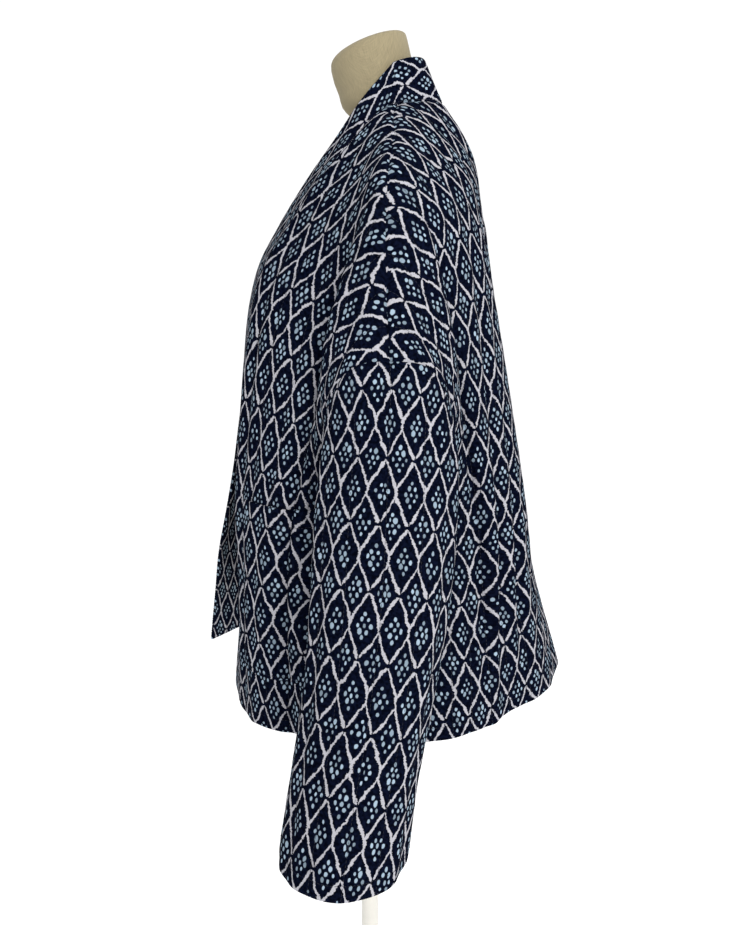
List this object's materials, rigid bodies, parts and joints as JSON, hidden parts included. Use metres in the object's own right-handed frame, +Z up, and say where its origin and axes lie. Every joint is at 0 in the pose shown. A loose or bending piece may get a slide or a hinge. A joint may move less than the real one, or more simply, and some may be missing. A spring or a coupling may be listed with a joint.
{
  "type": "quilted kimono jacket on a limbless dress form",
  "caption": "Open quilted cotton kimono jacket with wide straight sleeves, a neckband and patch pockets, worn by a linen dress form on a round stand",
  "frame": {"origin": "centre of the round base, on the floor", "axes": "+Z up; the wearer faces -Y and the wearer's left is +X"},
  "size_m": [0.772, 0.5068, 1.4704],
  "materials": {
    "quilted_print": "matte printed cotton, quilted",
    "form_linen": "plain woven linen",
    "stand_iron": "satin off-white paint"
  },
  "bodies": {
    "root": {"back": "quilted_print", "front_left": "quilted_print", "front_right": "quilted_print", "neckband": "quilted_print", "sleeve_left": "quilted_print", "sleeve_right": "quilted_print", "pocket_left": "quilted_print", "pocket_right": "quilted_print", "dress_form": "form_linen", "stand_pole": "stand_iron", "stand_base": "stand_iron"}
  },
  "joints": []
}
